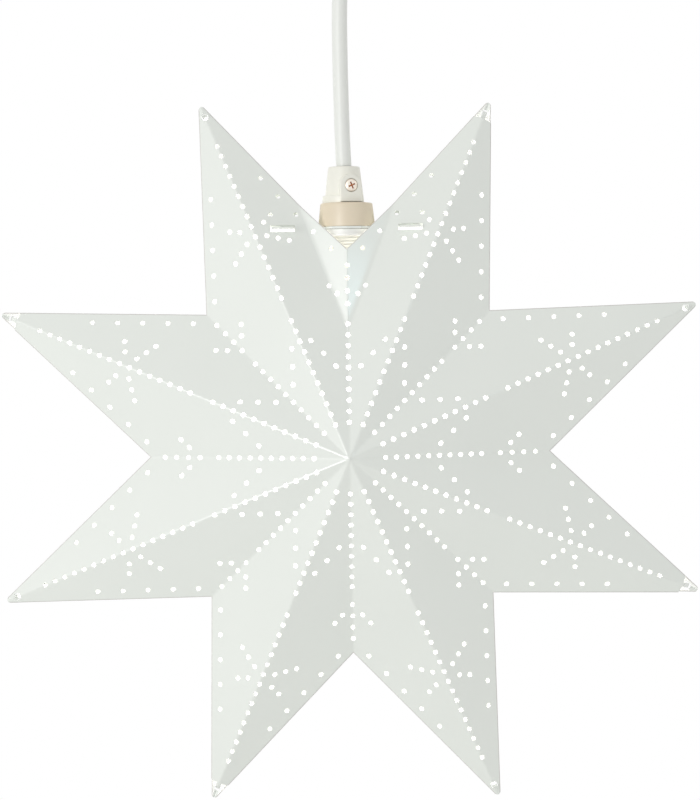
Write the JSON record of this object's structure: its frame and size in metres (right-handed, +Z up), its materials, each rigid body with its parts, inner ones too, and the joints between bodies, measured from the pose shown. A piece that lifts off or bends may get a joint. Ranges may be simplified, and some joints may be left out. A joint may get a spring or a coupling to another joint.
{
  "type": "star pendant lamp",
  "caption": "Hanging metal star lamp: folded, perforated white-lacquered sheet steel points round a lamp holder and bulb, on a cord from a ceiling cup.",
  "frame": {"origin": "middle of the ceiling plate's upper face, where it meets the ceiling", "axes": "+Z up, +X to the star's right as seen from the front, the star's front faces -Y"},
  "size_m": [0.3256, 0.0926, 0.4629],
  "materials": {
    "white_lacquered_steel": "high gloss",
    "ivory_holder_plastic": "satin",
    "off_white_cap_plastic": "satin",
    "white_plastic": "semi-gloss",
    "white_cord_pvc": "satin",
    "coppered_screw_steel": "bright",
    "brass": "bright",
    "zinc_plated_steel": "satin",
    "nickelled_brass": "bright",
    "black_glass_insulator": "gloss",
    "clear_bulb_glass": "clear",
    "tungsten": "matt",
    "solder": "satin",
    "brown_core_pvc": "satin",
    "blue_core_pvc": "satin"
  },
  "bodies": {
    "ceiling": {"ceiling_plate": "zinc_plated_steel", "ceiling_cup": "white_plastic", "cup_screw_left": "zinc_plated_steel", "cup_screw_right": "zinc_plated_steel", "ceiling_bush": "white_plastic", "bush_nut": "zinc_plated_steel"},
    "cord": {"cord": "white_cord_pvc"},
    "star": {"front_shell": "white_lacquered_steel", "back_shell": "white_lacquered_steel", "holder_plate": "white_lacquered_steel", "holder_body": "ivory_holder_plastic", "shade_nut": "white_plastic", "cord_grip_cap": "off_white_cap_plastic", "cord_grip_screw": "coppered_screw_steel", "cord_clamp": "white_plastic", "cord_tail": "white_cord_pvc", "core_live": "brown_core_pvc", "core_neutral": "blue_core_pvc", "live_terminal": "brass", "neutral_terminal": "brass", "live_screw": "zinc_plated_steel", "neutral_screw": "zinc_plated_steel", "contact_spring": "zinc_plated_steel"},
    "contact": {"contact_plunger": "brass"},
    "bulb_end": {"bulb_contact": "solder", "bulb_insulator": "black_glass_insulator"},
    "bulb": {"bulb_cap": "nickelled_brass", "bulb_glass": "clear_bulb_glass", "bulb_stem": "clear_bulb_glass", "bulb_lead_left": "nickelled_brass", "bulb_lead_right": "nickelled_brass", "bulb_filament": "tungsten"}
  },
  "joints": [
    {"name": "cord_swing", "type": "hinge", "parent": "ceiling", "child": "cord", "pos_m": [0, 0, -0.053], "axis": [0, 1, 0], "range_deg": [-18, 18]},
    {"name": "star_twist", "type": "hinge", "parent": "cord", "child": "star", "pos_m": [-0.0009, 0, -0.1658], "axis": [0, 0, 1], "range_deg": [-90, 90], "stiffness_Nm_per_rad": 0.02},
    {"name": "contact_travel", "type": "slide", "parent": "star", "child": "contact", "axis": [0, 0, 1], "range_m": [0, 0.0008], "stiffness_N_per_m": 400, "springref_m": -0.002, "deforming": ["contact_spring"]},
    {"name": "bulb_travel", "type": "slide", "parent": "star", "child": "bulb_end", "axis": [0, 0, -1], "range_m": [0, 0.01412]},
    {"name": "bulb_turn", "type": "hinge", "parent": "bulb_end", "child": "bulb", "pos_m": [0, 0, -0.1976], "axis": [0, 0, -1], "range_deg": [0, 1800]}
  ],
  "couplings": [
    {"joint": "bulb_travel", "follows": "bulb_turn", "m_per_rad": 0.00044881}
  ]
}
